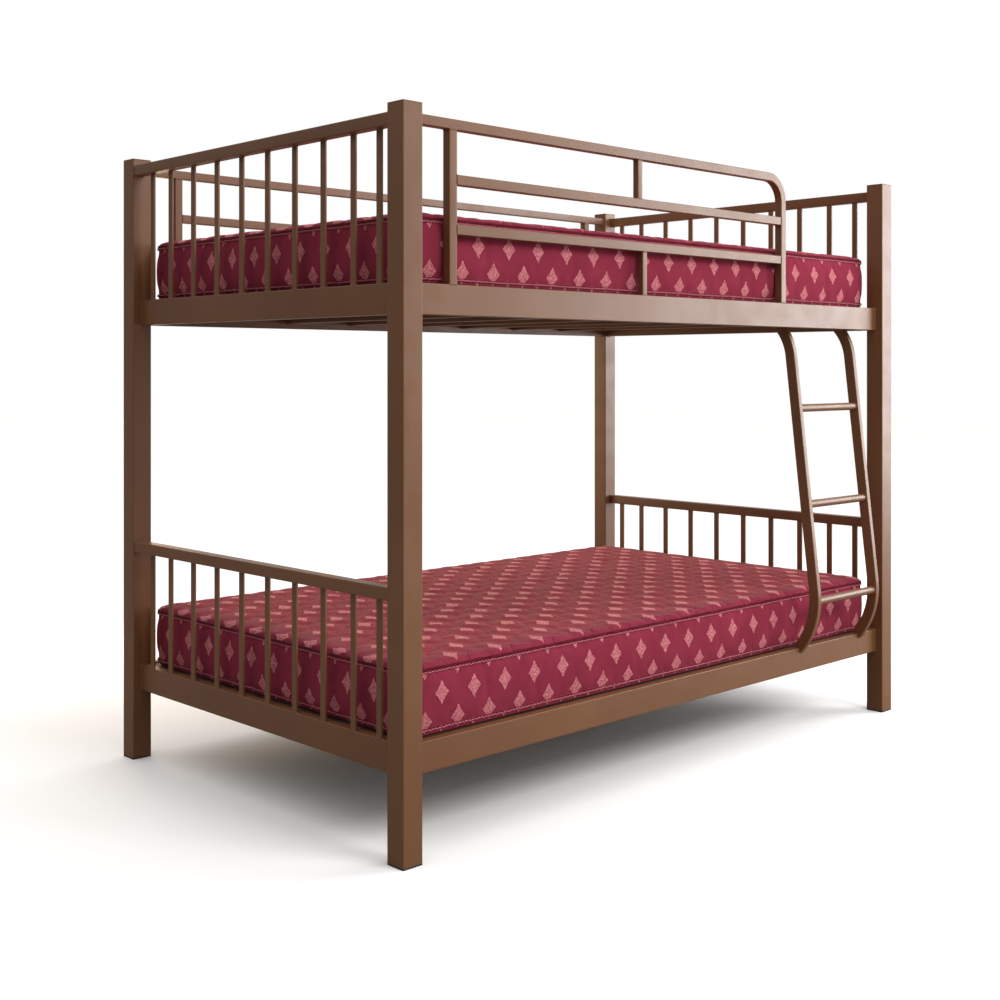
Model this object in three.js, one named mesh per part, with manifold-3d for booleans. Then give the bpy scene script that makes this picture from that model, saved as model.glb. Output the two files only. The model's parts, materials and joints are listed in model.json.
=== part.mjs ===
// Steel bunk bed with a fixed ladder, two mattresses and their plywood decks.
// Millimetres, +Z up. The origin is on the floor at the middle of the overall footprint,
// +X runs along the bed's length and the ladder stands on the -Y side.

import * as THREE from 'three';
import { mergeVertices } from 'three/addons/utils/BufferGeometryUtils.js';
import Module from 'manifold-3d';

const wasm = await Module();
wasm.setup();

// ---------------------------------------------------------------- driving dimensions

const LENGTH = 2165;            // over the posts, along X
const WIDTH = 1311;             // over the posts, along Y
const HEIGHT = 1790;            // floor to the top of the post caps
const GAP = 0.3;                // clearance that touching pieces keep

const POST = { side: 60, wall: 2, radius: 3 };
const CAP = { plate: 3, spigot: 20, slack: 0.5 };
const FOOT = { plate: 4, spigot: 25, slack: 0.5 };

const RAIL = { depth: 75, thick: 25, wall: 1.6, radius: 2, recess: 26 };
const UPPER_RAIL_TOP = 1369;
const LOWER_RAIL_TOP = 279;

const BEARER = { depth: 40, thick: 25, wall: 1.6, radius: 2, count: 7 };
const DECK = { thick: 15, sink: 4 };

const GRILLE_RAIL = { side: 32, wall: 1.6, radius: 2.5, recess: 3 };
const UPPER_GRILLE_TOP = 1770;
const LOWER_GRILLE_TOP = 650;
const SPINDLE = { width: 20, thick: 6, radius: 1, setback: 1, inner: 8, pitch: 123, outermost: 532 };

const GUARD = { side: 25, wall: 1.6, radius: 2, bend: 75, top: 1770, mid: 1624, low: 1503 };
const GUARD_LEG = 1566;         // centre of the bent leg, from the left end
const FRONT_UPRIGHT = 180;      // centre of the front upright, from the left end
const REAR_UPRIGHT = 160;       // centre of each rear upright, from its end
const STRUT = { side: 19, wall: 1.6, radius: 2, upper: 880, lower: 900 };

const STILE = { depth: 34, thick: 18, wall: 1.6, radius: 2, left: 1661.5, right: 2003.5 };
const STILE_PROUD = 43.5;       // crest of the stiles in front of the posts
const STILE_LEAN = THREE.MathUtils.degToRad(6.75);
const STILE_FOOT = { radius: 240, crest: 436, sweep: THREE.MathUtils.degToRad(42) };
const STILE_HEAD = { radius: 168, start: 1205, angle: THREE.MathUtils.degToRad(52) };
const RUNG = { diameter: 25, wall: 1.5, lowest: 431, pitch: 303.5, count: 3 };
const BRACKET = { width: 40, thick: 4, arm: 86, rise: 42, underside: 1303 };

const MATTRESS = { length: 2046, width: 1202, thick: 186, corner: 45, edge: 14 };

// Segments in half a bend, in half a corner of a wide tube and of a small one, and in half a rung.
const ARC_STEPS = 6;
const WIDE_CORNER_STEPS = 2;
const CORNER_STEPS = 1;
const RUNG_STEPS = 12;

// Working allowances: how deep joined solids reach into each other, how far a bore runs out past
// a cut end, how far a cutting block reaches, and how close two vertices are when they merge.
const JOIN = 1;
const BORE_OVERRUN = 4;
const CUT_REACH = 200;
const MERGE_TOLERANCE = 1e-3;

// ---------------------------------------------------------------- places worked out from them

const LEFT = -LENGTH / 2;
const RIGHT = LENGTH / 2;
const BACK = (WIDTH + STILE_PROUD) / 2;
const FRONT = BACK - WIDTH;
const MIDDLE_Y = (FRONT + BACK) / 2;
const RAIL_MIDDLE = RAIL.recess + RAIL.thick / 2;
const RAIL_INNER = RAIL.recess + RAIL.thick;
const POST_MIDDLE = POST.side / 2;
const LEVELS = [
  { name: 'lower', railTop: LOWER_RAIL_TOP, grilleTop: LOWER_GRILLE_TOP },
  { name: 'upper', railTop: UPPER_RAIL_TOP, grilleTop: UPPER_GRILLE_TOP },
];
const SIDES = [
  { name: 'front', y: FRONT, inward: 1 },
  { name: 'rear', y: BACK, inward: -1 },
];
const ENDS = [
  { name: 'left', x: LEFT, inward: 1 },
  { name: 'right', x: RIGHT, inward: -1 },
];

// ---------------------------------------------------------------- materials

const paint = new THREE.MeshStandardMaterial({ color: 0x7a5844, metalness: 0.35, roughness: 0.38 });
const capPlastic = new THREE.MeshStandardMaterial({ color: 0x6f503e, roughness: 0.5 });
const footPlastic = new THREE.MeshStandardMaterial({ color: 0x1c1816, roughness: 0.7 });
const plywood = new THREE.MeshStandardMaterial({ color: 0x4a3426, roughness: 0.8 });
const jacquard = new THREE.MeshStandardMaterial({ color: 0x87303f, roughness: 0.75 });

// ---------------------------------------------------------------- shape helpers

// Turns that lay a shape's own X, Y and extrusion along two world axes and the third.
const ACROSS_X = new THREE.Matrix4().makeBasis(
  new THREE.Vector3(0, 1, 0), new THREE.Vector3(0, 0, 1), new THREE.Vector3(1, 0, 0));
const ACROSS_Y = new THREE.Matrix4().makeBasis(
  new THREE.Vector3(1, 0, 0), new THREE.Vector3(0, 0, 1), new THREE.Vector3(0, -1, 0));
const UPRIGHT = new THREE.Matrix4();

function roundedRectangle(path, width, height, radius) {
  const x = width / 2 - radius;
  const y = height / 2 - radius;
  path.absarc(x, y, radius, 0, Math.PI / 2, false);
  path.absarc(-x, y, radius, Math.PI / 2, Math.PI, false);
  path.absarc(-x, -y, radius, Math.PI, 1.5 * Math.PI, false);
  path.absarc(x, -y, radius, 1.5 * Math.PI, 2 * Math.PI, false);
  return path;
}

function rectangle(path, width, height) {
  const x = width / 2;
  const y = height / 2;
  path.moveTo(x, y);
  path.lineTo(-x, y);
  path.lineTo(-x, -y);
  path.lineTo(x, -y);
  return path;
}

function prism(shape, length, turn, steps = CORNER_STEPS) {
  const geometry = new THREE.ExtrudeGeometry(shape, {
    depth: length, bevelEnabled: false, curveSegments: steps,
  });
  geometry.translate(0, 0, -length / 2);
  return geometry.applyMatrix4(turn);
}

// A straight hollow section, open at both ends and centred on the origin.
function boxTube(width, height, wall, radius, length, turn, steps = CORNER_STEPS) {
  const shape = roundedRectangle(new THREE.Shape(), width, height, radius);
  shape.holes.push(rectangle(new THREE.Path(), width - 2 * wall, height - 2 * wall));
  return prism(shape, length, turn, steps);
}

// A flat outline given thickness, its long edges rounded over.
function roundedPlate(shape, thickness, radius, turn) {
  const geometry = new THREE.ExtrudeGeometry(shape, {
    depth: thickness - 2 * radius,
    bevelThickness: radius,
    bevelSize: radius,
    bevelOffset: -radius,
    bevelSegments: WIDE_CORNER_STEPS,
    curveSegments: ARC_STEPS,
  });
  geometry.translate(0, 0, radius - thickness / 2);
  return geometry.applyMatrix4(turn);
}

function solid(geometry) {
  const bare = geometry.clone();
  bare.deleteAttribute('normal');
  bare.deleteAttribute('uv');
  const merged = mergeVertices(bare, MERGE_TOLERANCE);
  return new wasm.Manifold(new wasm.Mesh({
    numProp: 3,
    vertProperties: new Float32Array(merged.attributes.position.array),
    triVerts: new Uint32Array(merged.index.array),
  }));
}

function geometryOf(manifold) {
  const mesh = manifold.getMesh();
  const geometry = new THREE.BufferGeometry();
  geometry.setAttribute('position', new THREE.BufferAttribute(mesh.vertProperties, 3));
  geometry.setIndex(new THREE.BufferAttribute(mesh.triVerts, 1));
  geometry.computeVertexNormals();
  return geometry;
}

function block(low, high) {
  const size = high.clone().sub(low);
  const middle = low.clone().add(high).multiplyScalar(0.5);
  const geometry = new THREE.BoxGeometry(size.x, size.y, size.z);
  return geometry.translate(middle.x, middle.y, middle.z);
}

const bed = new THREE.Group();

function place(name, geometry, material, x, y, z, parent = bed) {
  const mesh = new THREE.Mesh(geometry, material);
  mesh.name = name;
  mesh.position.set(x, y, z);
  parent.add(mesh);
  return mesh;
}

// ---------------------------------------------------------------- posts, caps and feet

// A square insert: a plate as wide as the post and a spigot that plugs its bore.
function postInsert(plate, spigot, slack, direction) {
  const square = roundedRectangle(new THREE.Shape(), POST.side, POST.side, POST.radius);
  const plug = POST.side - 2 * POST.wall - 2 * slack;
  const stem = rectangle(new THREE.Shape(), plug, plug);
  const cover = prism(square, plate, UPRIGHT, WIDE_CORNER_STEPS);
  const body = prism(stem, spigot + JOIN, UPRIGHT);
  body.translate(0, 0, direction * (plate + spigot - JOIN) / 2);
  return geometryOf(solid(cover).add(solid(body)));
}

function addPosts() {
  const bottom = FOOT.plate + GAP;
  const top = HEIGHT - CAP.plate - GAP;
  const { side: width, wall, radius } = POST;
  const tube = boxTube(width, width, wall, radius, top - bottom, UPRIGHT, WIDE_CORNER_STEPS);
  const cap = postInsert(CAP.plate, CAP.spigot, CAP.slack, -1);
  const foot = postInsert(FOOT.plate, FOOT.spigot, FOOT.slack, 1);
  for (const side of SIDES) {
    for (const end of ENDS) {
      const x = end.x + end.inward * POST_MIDDLE;
      const y = side.y + side.inward * POST_MIDDLE;
      const corner = `${side.name}_${end.name}`;
      place(`post_${corner}`, tube, paint, x, y, (bottom + top) / 2);
      place(`post_cap_${corner}`, cap, capPlastic, x, y, HEIGHT - CAP.plate / 2);
      place(`foot_${corner}`, foot, footPlastic, x, y, FOOT.plate / 2);
    }
  }
}

// ---------------------------------------------------------------- rails, bearers and decks

function addRails(level) {
  const z = level.railTop - RAIL.depth / 2;
  const sideLength = LENGTH - 2 * (POST.side + GAP);
  const endLength = WIDTH - 2 * (POST.side + GAP);
  const { thick, depth, wall, radius } = RAIL;
  const sideRail = boxTube(thick, depth, wall, radius, sideLength, ACROSS_X, WIDE_CORNER_STEPS);
  const endRail = boxTube(thick, depth, wall, radius, endLength, ACROSS_Y, WIDE_CORNER_STEPS);
  for (const side of SIDES) {
    const y = side.y + side.inward * RAIL_MIDDLE;
    place(`${level.name}_side_rail_${side.name}`, sideRail, paint, 0, y, z);
  }
  for (const end of ENDS) {
    const x = end.x + end.inward * RAIL_MIDDLE;
    place(`${level.name}_end_rail_${end.name}`, endRail, paint, x, MIDDLE_Y, z);
  }
}

function addDeck(level) {
  const deckTop = level.railTop - DECK.sink;
  const span = WIDTH - 2 * (RAIL_INNER + GAP);
  const { thick, depth, wall, radius } = BEARER;
  const bearer = boxTube(thick, depth, wall, radius, span, ACROSS_Y);
  const bearerZ = deckTop - DECK.thick - GAP - depth / 2;
  const pitch = (LENGTH - 2 * RAIL_INNER) / (BEARER.count + 1);
  for (let i = 1; i <= BEARER.count; i += 1) {
    const x = LEFT + RAIL_INNER + i * pitch;
    place(`${level.name}_bearer_${i}`, bearer, paint, x, MIDDLE_Y, bearerZ);
  }
  const board = new THREE.BoxGeometry(LENGTH - 2 * (POST.side + GAP), span, DECK.thick);
  place(`${level.name}_deck_board`, board, plywood, 0, MIDDLE_Y, deckTop - DECK.thick / 2);
}

// ---------------------------------------------------------------- end grilles

function spindleOffsets() {
  const offsets = [-SPINDLE.outermost];
  for (let i = 0; i < SPINDLE.inner; i += 1) {
    offsets.push((i - (SPINDLE.inner - 1) / 2) * SPINDLE.pitch);
  }
  offsets.push(SPINDLE.outermost);
  return offsets;
}

// Top rail with its ten flat spindles welded under it. The spindles stand on the end rail.
function grilleGeometry(level, end) {
  const span = WIDTH - 2 * (POST.side + GAP);
  const { side, wall, radius } = GRILLE_RAIL;
  const railX = GRILLE_RAIL.recess + side / 2;
  const spindleX = RAIL.recess + SPINDLE.setback + SPINDLE.thick / 2;
  const height = level.grilleTop - side - level.railTop - GAP;
  let grille = solid(boxTube(side, side, wall, radius, span, ACROSS_Y));
  const bar = roundedRectangle(new THREE.Shape(), SPINDLE.thick, SPINDLE.width, SPINDLE.radius);
  for (const offset of spindleOffsets()) {
    const spindle = prism(bar, height + wall / 2, UPRIGHT);
    spindle.translate(end.inward * (spindleX - railX), offset, -(side + height) / 2 + wall / 4);
    grille = grille.add(solid(spindle));
  }
  return geometryOf(grille);
}

function addGrilles(level) {
  const z = level.grilleTop - GRILLE_RAIL.side / 2;
  const inset = GRILLE_RAIL.recess + GRILLE_RAIL.side / 2;
  for (const end of ENDS) {
    const grille = grilleGeometry(level, end);
    const x = end.x + end.inward * inset;
    place(`${level.name}_end_grille_${end.name}`, grille, paint, x, MIDDLE_Y, z);
  }
}

// ---------------------------------------------------------------- guard rails

// Outline of the bent guard tube: level along the top, then round a quarter turn and down.
// The inset shrinks the outline for the bore, which runs out past both cut ends.
function bentTubeOutline(start, leg, top, bottom, inset) {
  const half = GUARD.side / 2 - inset;
  const overrun = inset > 0 ? BORE_OVERRUN : 0;
  const axisZ = top - GUARD.side / 2;
  const bendX = leg - GUARD.bend;
  const bendZ = axisZ - GUARD.bend;
  const shape = new THREE.Shape();
  shape.moveTo(start - overrun, axisZ + half);
  // An arc that comes first would drop the starting point, so the straight is drawn on its own.
  shape.lineTo(bendX, axisZ + half);
  shape.absarc(bendX, bendZ, GUARD.bend + half, Math.PI / 2, 0, true);
  shape.lineTo(leg + half, bottom - overrun);
  shape.lineTo(leg - half, bottom - overrun);
  shape.absarc(bendX, bendZ, GUARD.bend - half, 0, Math.PI / 2, false);
  shape.lineTo(start - overrun, axisZ - half);
  return shape;
}

function guardTopGeometry(start, leg, bottom) {
  const outer = bentTubeOutline(start, leg, GUARD.top, bottom, 0);
  const inner = bentTubeOutline(start, leg, GUARD.top, bottom, GUARD.wall);
  const skin = solid(roundedPlate(outer, GUARD.side, GUARD.radius, ACROSS_Y));
  const bore = solid(prism(inner, GUARD.side - 2 * GUARD.wall, ACROSS_Y, ARC_STEPS));
  return geometryOf(skin.subtract(bore));
}

function addUpright(name, section, x, y, bottom, top) {
  const length = top - bottom;
  const tube = boxTube(section.side, section.side, section.wall, section.radius, length, UPRIGHT);
  place(name, tube, paint, x, y, (bottom + top) / 2);
}

function addGuardBar(name, x0, x1, y, z) {
  const { side, wall, radius } = GUARD;
  place(name, boxTube(side, side, wall, radius, x1 - x0, ACROSS_X), paint, (x0 + x1) / 2, y, z);
}

function addFrontGuard() {
  const y = FRONT + RAIL_MIDDLE;
  const seat = UPPER_RAIL_TOP + GAP;
  const half = GUARD.side / 2;
  const underTop = GUARD.top - GUARD.side - GAP;
  const leg = LEFT + GUARD_LEG;
  const uprightX = LEFT + FRONT_UPRIGHT;
  const topTube = guardTopGeometry(LEFT + POST.side + GAP, leg, seat);
  place('front_guard_top_tube', topTube, paint, 0, y, 0);
  addUpright('front_guard_upright', GUARD, uprightX, y, seat, underTop);
  for (const [name, z] of [['mid', GUARD.mid], ['low', GUARD.low]]) {
    addGuardBar(`front_guard_${name}_bar`, uprightX + half + GAP, leg - half - GAP, y, z);
  }
  addUpright('front_guard_upper_strut', STRUT, LEFT + STRUT.upper, y, GUARD.mid + half + GAP, underTop);
  addUpright('front_guard_lower_strut', STRUT, LEFT + STRUT.lower, y, seat, GUARD.low - half - GAP);
}

function addRearGuard() {
  const y = BACK - RAIL_MIDDLE;
  const seat = UPPER_RAIL_TOP + GAP;
  const half = GUARD.side / 2;
  const underTop = GUARD.top - GUARD.side - GAP;
  const post = POST.side + GAP;
  addGuardBar('rear_guard_top_bar', LEFT + post, RIGHT - post, y, GUARD.top - half);
  for (const end of ENDS) {
    const x = end.x + end.inward * REAR_UPRIGHT;
    addUpright(`rear_guard_upright_${end.name}`, GUARD, x, y, seat, underTop);
  }
  const reach = REAR_UPRIGHT + half + GAP;
  for (const [name, z] of [['mid', GUARD.mid], ['low', GUARD.low]]) {
    addGuardBar(`rear_guard_${name}_bar`, LEFT + reach, RIGHT - reach, y, z);
  }
}

// ---------------------------------------------------------------- ladder

// Centres of the stile's two bends and the front-to-back place of its middle line, in (Y, Z).
const STILE_CREST_Y = FRONT - STILE_PROUD + STILE.depth / 2;
const FOOT_CENTRE = new THREE.Vector2(STILE_CREST_Y + STILE_FOOT.radius, STILE_FOOT.crest);
const STRAIGHT_START = new THREE.Vector2(
  FOOT_CENTRE.x - STILE_FOOT.radius * Math.cos(STILE_LEAN),
  FOOT_CENTRE.y + STILE_FOOT.radius * Math.sin(STILE_LEAN));
const STRAIGHT_END = new THREE.Vector2(
  STRAIGHT_START.x + (STILE_HEAD.start - STRAIGHT_START.y) * Math.tan(STILE_LEAN),
  STILE_HEAD.start);
const HEAD_CENTRE = new THREE.Vector2(
  STRAIGHT_END.x + STILE_HEAD.radius * Math.cos(STILE_LEAN),
  STRAIGHT_END.y - STILE_HEAD.radius * Math.sin(STILE_LEAN));

function stileMiddleY(z) {
  if (z < STRAIGHT_START.y) {
    const drop = z - FOOT_CENTRE.y;
    return FOOT_CENTRE.x - Math.sqrt(STILE_FOOT.radius ** 2 - drop ** 2);
  }
  return STRAIGHT_START.x + (z - STRAIGHT_START.y) * Math.tan(STILE_LEAN);
}

function stileOutline(inset) {
  const half = STILE.depth / 2 - inset;
  const overrun = inset > 0 ? BORE_OVERRUN : 0;
  const foot = Math.PI + STILE_FOOT.sweep + overrun / STILE_FOOT.radius;
  const lean = Math.PI - STILE_LEAN;
  const head = Math.PI - STILE_HEAD.angle - overrun / STILE_HEAD.radius;
  const shape = new THREE.Shape();
  shape.absarc(FOOT_CENTRE.x, FOOT_CENTRE.y, STILE_FOOT.radius + half, foot, lean, true);
  shape.absarc(HEAD_CENTRE.x, HEAD_CENTRE.y, STILE_HEAD.radius + half, lean, head, true);
  shape.absarc(HEAD_CENTRE.x, HEAD_CENTRE.y, STILE_HEAD.radius - half, head, lean, false);
  shape.absarc(FOOT_CENTRE.x, FOOT_CENTRE.y, STILE_FOOT.radius - half, lean, foot, false);
  return shape;
}

// The foot is notched over the front top edge of the lower side rail,
// and the head is cut level under its bracket.
function stileGeometry() {
  const { thick, wall, radius } = STILE;
  const skin = solid(roundedPlate(stileOutline(0), thick, radius, ACROSS_X));
  const bore = solid(prism(stileOutline(wall), thick - 2 * wall, ACROSS_X, ARC_STEPS));
  const notch = solid(block(
    new THREE.Vector3(-CUT_REACH, FRONT + RAIL.recess - GAP, LOWER_RAIL_TOP - CUT_REACH),
    new THREE.Vector3(CUT_REACH, FRONT + CUT_REACH, LOWER_RAIL_TOP + GAP)));
  const above = solid(block(
    new THREE.Vector3(-CUT_REACH, FRONT - CUT_REACH, BRACKET.underside - GAP),
    new THREE.Vector3(CUT_REACH, FRONT + CUT_REACH, BRACKET.underside + CUT_REACH)));
  return geometryOf(skin.subtract(bore).subtract(notch).subtract(above));
}

function rungGeometry(length) {
  const shape = new THREE.Shape();
  shape.absarc(0, 0, RUNG.diameter / 2, 0, 2 * Math.PI, false);
  const bore = new THREE.Path();
  bore.absarc(0, 0, RUNG.diameter / 2 - RUNG.wall, 0, 2 * Math.PI, false);
  shape.holes.push(bore);
  return prism(shape, length, ACROSS_X, RUNG_STEPS);
}

// Steel angle that hangs inside the upper side rail and carries the head of a stile.
function bracketGeometry() {
  const { arm, rise, thick, width } = BRACKET;
  const shape = new THREE.Shape();
  shape.moveTo(0, 0);
  shape.lineTo(arm, 0);
  shape.lineTo(arm, thick);
  shape.lineTo(thick, thick);
  shape.lineTo(thick, rise);
  shape.lineTo(0, rise);
  return prism(shape, width, ACROSS_X);
}

function addLadder() {
  const stile = stileGeometry();
  const bracket = bracketGeometry();
  const railFace = FRONT + RAIL_INNER + GAP;
  for (const [name, x] of [['left', LEFT + STILE.left], ['right', LEFT + STILE.right]]) {
    place(`ladder_stile_${name}`, stile, paint, x, 0, 0);
    place(`ladder_bracket_${name}`, bracket, paint, x, railFace, BRACKET.underside);
  }
  const middle = LEFT + (STILE.left + STILE.right) / 2;
  const rung = rungGeometry(STILE.right - STILE.left - STILE.thick - 2 * GAP);
  for (let i = 0; i < RUNG.count; i += 1) {
    const z = RUNG.lowest + i * RUNG.pitch;
    place(`ladder_rung_${i + 1}`, rung, paint, middle, stileMiddleY(z), z);
  }
}

// ---------------------------------------------------------------- mattresses

function addMattress(level) {
  const { length, width, thick, corner, edge } = MATTRESS;
  const outline = roundedRectangle(new THREE.Shape(), length, width, corner);
  const bottom = level.railTop - DECK.sink + GAP;
  place(`${level.name}_mattress`, roundedPlate(outline, thick, edge, UPRIGHT), jacquard,
    0, MIDDLE_Y, bottom + thick / 2);
}

addPosts();
for (const level of LEVELS) {
  addRails(level);
  addDeck(level);
  addGrilles(level);
  addMattress(level);
}
addFrontGuard();
addRearGuard();
addLadder();

export default bed;
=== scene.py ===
# Looks for the steel bunk bed: studio, paint, welds and the two quilted mattresses.
import json
import math

import bpy
import numpy as np
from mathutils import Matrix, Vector


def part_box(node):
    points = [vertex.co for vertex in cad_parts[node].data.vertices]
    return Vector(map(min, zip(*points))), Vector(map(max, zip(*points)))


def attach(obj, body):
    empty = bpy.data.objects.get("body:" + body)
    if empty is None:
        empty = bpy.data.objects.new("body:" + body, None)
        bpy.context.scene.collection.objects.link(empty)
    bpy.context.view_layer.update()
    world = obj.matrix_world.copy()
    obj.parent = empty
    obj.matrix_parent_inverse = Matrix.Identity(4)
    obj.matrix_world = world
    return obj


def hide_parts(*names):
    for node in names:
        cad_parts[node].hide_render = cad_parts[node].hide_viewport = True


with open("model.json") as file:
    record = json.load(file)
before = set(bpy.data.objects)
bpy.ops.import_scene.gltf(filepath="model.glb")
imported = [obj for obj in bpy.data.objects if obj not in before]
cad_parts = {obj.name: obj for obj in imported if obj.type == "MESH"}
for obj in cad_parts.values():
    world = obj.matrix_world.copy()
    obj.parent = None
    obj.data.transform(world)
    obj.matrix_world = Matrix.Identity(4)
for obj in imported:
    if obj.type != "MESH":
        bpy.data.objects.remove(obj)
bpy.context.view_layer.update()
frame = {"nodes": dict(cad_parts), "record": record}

scene = bpy.context.scene

# ---------------------------------------------------------------- node graphs


class Graph:
    """Short calls that each add one shader node to a node tree and give back its output."""

    def __init__(self, tree):
        self.tree = tree

    def put(self, socket, value):
        if isinstance(value, bpy.types.NodeSocket):
            self.tree.links.new(value, socket)
        else:
            socket.default_value = value

    def node(self, kind, inputs, **settings):
        made = self.tree.nodes.new("ShaderNode" + kind)
        for key, value in settings.items():
            setattr(made, key, value)
        for key, value in inputs.items():
            self.put(made.inputs[key], value)
        return made

    def math(self, operation, *values):
        return self.node("Math", dict(enumerate(values)), operation=operation).outputs[0]

    def times(self, a, b):
        return self.math("MULTIPLY", a, b)

    def plus(self, a, b):
        return self.math("ADD", a, b)

    def mix(self, share, a, b):
        inputs = {0: share, 6: a, 7: b}
        return self.node("Mix", inputs, data_type="RGBA").outputs[2]

    def noise(self, vector, scale, detail=2.0):
        inputs = {"Vector": vector, "Scale": scale, "Detail": detail}
        return self.node("TexNoise", inputs).outputs["Fac"]

    def ranged(self, value, low, high, to_low=0.0, to_high=1.0):
        """Goes smoothly from to_low to to_high as value goes from low to high."""
        inputs = {"Value": value, "From Min": low, "From Max": high,
                  "To Min": to_low, "To Max": to_high}
        return self.node("MapRange", inputs, interpolation_type="SMOOTHSTEP").outputs["Result"]

    def split(self, vector):
        outputs = self.node("SeparateXYZ", {0: vector}).outputs
        return outputs["X"], outputs["Y"], outputs["Z"]

    def wave(self, value, length):
        """A sine of value that repeats every length."""
        return self.math("SINE", self.times(value, 2 * math.pi / length))


class Look(Graph):
    """A material with one Principled shader."""

    def __init__(self, name):
        self.material = bpy.data.materials.new(name)
        self.material.use_nodes = True
        super().__init__(self.material.node_tree)
        self.shader = self.tree.nodes["Principled BSDF"]

    def set(self, name, value):
        self.put(self.shader.inputs[name], value)

    def place(self):
        return self.node("TexCoord", {}).outputs["Object"]

    def cloth_place(self):
        """The fabric's own coordinates, in metres: along the seam and up, or across the panel."""
        vector = self.node("UVMap", {}, uv_map="cloth").outputs[0]
        u, v, _ = self.split(vector)
        return vector, u, v

    def bump(self, height, strength, distance):
        inputs = {"Height": height, "Strength": strength, "Distance": distance}
        return self.node("Bump", inputs).outputs[0]


# ---------------------------------------------------------------- studio

# Where the camera stands, where it looks (turned from +X towards +Y), its lens and sensor in
# millimetres, and the upward shift of its frame.
CAMERA_PLACE = Vector((-3.119, -3.075, 1.168))
CAMERA_HEADING = math.radians(46.12)
CAMERA_LENS = 49.27
CAMERA_SENSOR = 36
CAMERA_RISE = -0.1326

# The floor's side, its two tones to the camera, and its tone for the light that it throws back.
FLOOR_SIZE = 60.0
FLOOR_SEEN = ((0.90, 0.90, 0.90, 1), (0.93, 0.93, 0.93, 1))
FLOOR_BOUNCE = (0.26, 0.245, 0.23, 1)

# Radiance of the surroundings: towards -X and towards +X, and what is added overhead.
WORLD_LEFT = 0.05
WORLD_RIGHT = 0.40
WORLD_SKY = 1.35
WORLD_TINT = (1, 0.985, 0.965, 1)
BACKDROP = (1, 1, 1, 1)

# Name, place, what it points at, size, radiance and colour of each softbox.
SOFTBOXES = (
    ("key", (4.2, -2.75, 1.80), (0.2, -0.25, 1.35), (2.6, 2.9), 8.0, (1, 1, 1)),
    ("front", (0.5, -6.0, 4.6), (0.1, 0.0, 0.8), (3.0, 2.4), 10.5, (1, 1, 1)),
    ("behind", (-0.3, 2.4, 1.0), (0.9, 0.6, 0.7), (1.2, 1.2), 3.5, (1.0, 0.66, 0.36)),
)


def make_camera():
    data = bpy.data.cameras.new("camera")
    data.lens = CAMERA_LENS
    data.sensor_width = CAMERA_SENSOR
    data.shift_y = CAMERA_RISE
    data.clip_end = 100
    camera = bpy.data.objects.new("camera", data)
    scene.collection.objects.link(camera)
    camera.location = CAMERA_PLACE
    camera.rotation_euler = (math.pi / 2, 0, CAMERA_HEADING - math.pi / 2)
    scene.camera = camera


def soft_light(name, place, aim, size, radiance, colour):
    """A rectangular softbox of an even radiance, whatever its size."""
    data = bpy.data.lights.new(name, "AREA")
    data.shape = "RECTANGLE"
    data.size, data.size_y = size
    data.energy = radiance * math.pi * size[0] * size[1]
    data.color = colour
    light = bpy.data.objects.new(name, data)
    scene.collection.objects.link(light)
    light.location = place
    direction = Vector(aim) - Vector(place)
    light.rotation_euler = direction.to_track_quat("-Z", "Y").to_euler()
    light.visible_camera = False


def make_world():
    """Soft light all round, brighter towards +X and overhead, with a white backdrop."""
    world = bpy.data.worlds.new("studio")
    world.use_nodes = True
    scene.world = world
    graph = Graph(world.node_tree)
    graph.tree.nodes.clear()
    x, _, z = graph.split(graph.node("TexCoord", {}).outputs["Generated"])
    side = graph.ranged(x, -1, 1, WORLD_LEFT, WORLD_RIGHT)
    sky = graph.times(graph.math("MAXIMUM", z, 0.0), WORLD_SKY)
    light = graph.node("Background", {"Color": WORLD_TINT, "Strength": graph.plus(side, sky)})
    backdrop = graph.node("Background", {"Color": BACKDROP, "Strength": 1.0})
    seen = graph.node("LightPath", {}).outputs["Is Camera Ray"]
    mixed = graph.node("MixShader", {0: seen, 1: light.outputs[0], 2: backdrop.outputs[0]})
    graph.node("OutputWorld", {"Surface": mixed.outputs[0]})


def floor_material():
    """Pale matt paper. It throws back less light than it shows, so that no glare comes from below."""
    look = Look("studio_floor")
    pale = look.mix(look.noise(look.place(), 0.7), *FLOOR_SEEN)
    seen = look.node("LightPath", {}).outputs["Is Camera Ray"]
    look.set("Base Color", look.mix(seen, FLOOR_BOUNCE, pale))
    look.set("Roughness", 0.9)
    look.set("Specular IOR Level", 0.0)
    return look.material


def make_floor():
    data = bpy.data.meshes.new("studio_floor")
    half = FLOOR_SIZE / 2
    corners = [(-half, -half, 0), (half, -half, 0), (half, half, 0), (-half, half, 0)]
    data.from_pydata(corners, [], [(0, 1, 2, 3)])
    floor = bpy.data.objects.new("studio_floor", data)
    scene.collection.objects.link(floor)
    data.materials.append(floor_material())


def make_studio():
    scene.view_settings.view_transform = "Standard"
    make_camera()
    make_world()
    for softbox in SOFTBOXES:
        soft_light(*softbox)
    make_floor()


# ---------------------------------------------------------------- mattress dimensions

# Side of the cover's grid cells.
CELL = 0.0135

# Heights of the two corded seams above the deck, and how far inside the CAD solid they run.
LOW_SEAM = 0.0175
HIGH_SEAM = 0.157
SEAM_INSET = 0.008

# How many rows of cells lie between the seams, and how far the side bulges before it's inflated.
SIDE_ROWS = 10
SIDE_BULGE = 0.004

# Corner radius at the CAD solid's outline. A ring further in has less, down to the least.
CORNER = 0.045
LEAST_CORNER = 0.012

# Height and inset of the rings that turn the cover under, from the low seam to the flat bottom.
UNDER_ROWS = ((0.0110, 0.0075), (0.0050, 0.0095), (0.0015, 0.0145))
BOTTOM_INSET = 0.022

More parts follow.
